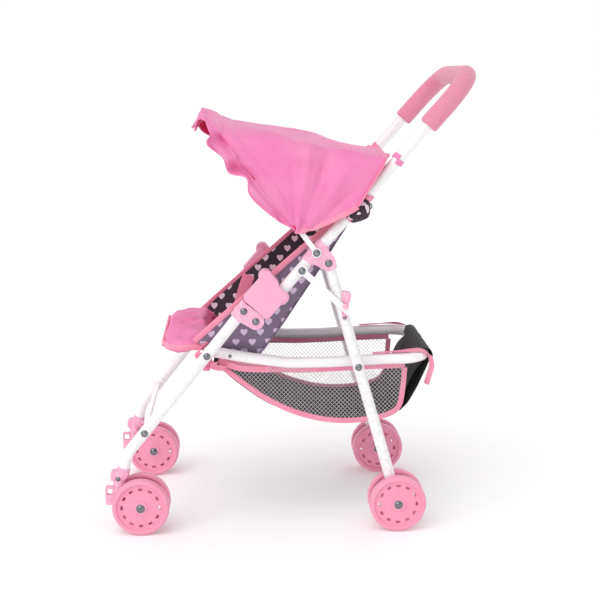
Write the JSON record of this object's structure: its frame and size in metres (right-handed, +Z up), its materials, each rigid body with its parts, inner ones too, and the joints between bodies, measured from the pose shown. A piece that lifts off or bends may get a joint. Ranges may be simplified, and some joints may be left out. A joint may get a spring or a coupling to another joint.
{
  "type": "doll stroller",
  "caption": "Folding buggy for a doll: bent tube frame, sling seat, pleated hood on a swinging bow, swivelling front wheels and a net basket under the seat.",
  "frame": {"origin": "on the floor under the middle of the whole object", "axes": "+Z up, -Y towards the front wheels, +X towards the rider's left"},
  "size_m": [0.2656, 0.4284, 0.5345],
  "materials": {
    "white_paint": "gloss powder coat",
    "pink_foam": "closed-cell foam",
    "pink_plastic": "moulded",
    "wheel_plastic": "moulded",
    "white_plastic": "moulded",
    "steel": "domed and polished",
    "pink_satin": "satin weave",
    "pink_webbing": "woven tape",
    "black_netting": "net and woven cloth",
    "dark_print_cloth": "printed plain weave"
  },
  "bodies": {
    "main_frame": {"handle_tube": "white_paint", "handle_grip": "pink_foam", "upper_bracket_left": "pink_plastic", "upper_bracket_right": "pink_plastic", "frame_rivets": "steel", "seat_base": "dark_print_cloth", "seat_back": "dark_print_cloth", "seat_side_left": "dark_print_cloth", "seat_side_right": "dark_print_cloth", "front_pad": "pink_satin", "lap_belt": "pink_webbing"},
    "front_legs": {"front_leg_left": "white_paint", "front_leg_right": "white_paint", "lower_bracket_left": "pink_plastic", "lower_bracket_right": "pink_plastic", "leg_rivets": "steel", "basket_spacers": "white_plastic", "front_crossbar": "white_paint", "caster_socket_left": "pink_plastic", "caster_socket_right": "pink_plastic", "socket_screws": "steel", "swivel_pins": "steel"},
    "rear_legs": {"rear_leg_left": "white_paint", "rear_leg_right": "white_paint", "rear_hub_left": "white_plastic", "rear_hub_right": "white_plastic", "rear_spacers": "white_plastic", "rear_rivets": "steel", "latch_catch_left": "white_plastic", "latch_catch_right": "white_plastic"},
    "basket_frame": {"basket_tube": "white_paint", "basket_screws": "steel", "basket_cloth": "black_netting"},
    "canopy": {"canopy_bow": "white_paint", "canopy_cloth": "pink_satin"},
    "lock_left": {"lock_sleeve_left": "pink_plastic"},
    "strut_left": {"fold_strut_left": "white_paint"},
    "caster_left": {"caster_fork_left": "pink_plastic"},
    "front_wheel_left": {"front_disc_outer_left": "wheel_plastic", "front_disc_inner_left": "wheel_plastic", "front_axle_left": "steel"},
    "rear_wheel_left": {"rear_disc_outer_left": "wheel_plastic", "rear_disc_inner_left": "wheel_plastic", "rear_axle_left": "steel"},
    "lock_right": {"lock_sleeve_right": "pink_plastic"},
    "strut_right": {"fold_strut_right": "white_paint"},
    "caster_right": {"caster_fork_right": "pink_plastic"},
    "front_wheel_right": {"front_disc_outer_right": "wheel_plastic", "front_disc_inner_right": "wheel_plastic", "front_axle_right": "steel"},
    "rear_wheel_right": {"rear_disc_outer_right": "wheel_plastic", "rear_disc_inner_right": "wheel_plastic", "rear_axle_right": "steel"}
  },
  "joints": [
    {"name": "frame_fold", "type": "hinge", "parent": "main_frame", "child": "front_legs", "pos_m": [0, -0.03882, 0.249], "axis": [1, 0, 0], "range_deg": [0, 147], "deforming": ["basket_cloth"]},
    {"name": "rear_leg_fold", "type": "hinge", "parent": "main_frame", "child": "rear_legs", "pos_m": [0, 0.04361, 0.31498], "axis": [1, 0, 0], "range_deg": [0, 102.22]},
    {"name": "basket_fold", "type": "hinge", "parent": "front_legs", "child": "basket_frame", "pos_m": [0, -0.09486, 0.2085], "axis": [1, 0, 0], "range_deg": [-98.48, 0]},
    {"name": "canopy_fold", "type": "hinge", "parent": "main_frame", "child": "canopy", "pos_m": [0, 0.02996, 0.32701], "axis": [1, 0, 0], "range_deg": [-65, 0], "deforming": ["canopy_cloth"]},
    {"name": "lock_slide_left", "type": "slide", "parent": "main_frame", "child": "lock_left", "axis": [0, 0.6613, 0.7501], "range_m": [0, 0.015]},
    {"name": "strut_swing_left", "type": "hinge", "parent": "main_frame", "child": "strut_left", "pos_m": [0.1196, 0.01351, 0.30685], "axis": [1, 0, 0], "range_deg": [-35, 0]},
    {"name": "caster_swivel_left", "type": "hinge", "parent": "front_legs", "child": "caster_left", "pos_m": [0.1108, -0.19782, 0.05], "axis": [0, 0, 1], "continuous": true},
    {"name": "front_wheel_spin_left", "type": "hinge", "parent": "caster_left", "child": "front_wheel_left", "pos_m": [0.1108, -0.17282, 0.033], "axis": [1, 0, 0], "continuous": true},
    {"name": "rear_wheel_spin_left", "type": "hinge", "parent": "rear_legs", "child": "rear_wheel_left", "pos_m": [0.1108, 0.12518, 0.033], "axis": [1, 0, 0], "continuous": true},
    {"name": "lock_slide_right", "type": "slide", "parent": "main_frame", "child": "lock_right", "axis": [0, 0.6613, 0.7501], "range_m": [0, 0.015]},
    {"name": "strut_swing_right", "type": "hinge", "parent": "main_frame", "child": "strut_right", "pos_m": [-0.1196, 0.01351, 0.30685], "axis": [1, 0, 0], "range_deg": [-35, 0]},
    {"name": "caster_swivel_right", "type": "hinge", "parent": "front_legs", "child": "caster_right", "pos_m": [-0.1108, -0.19782, 0.05], "axis": [0, 0, 1], "continuous": true},
    {"name": "front_wheel_spin_right", "type": "hinge", "parent": "caster_right", "child": "front_wheel_right", "pos_m": [-0.1108, -0.17282, 0.033], "axis": [1, 0, 0], "continuous": true},
    {"name": "rear_wheel_spin_right", "type": "hinge", "parent": "rear_legs", "child": "rear_wheel_right", "pos_m": [-0.1108, 0.12518, 0.033], "axis": [1, 0, 0], "continuous": true}
  ],
  "couplings": [
    {"joint": "rear_leg_fold", "follows": "frame_fold", "ratio": 0.69197},
    {"joint": "basket_fold", "follows": "frame_fold", "ratio": -0.66656}
  ]
}
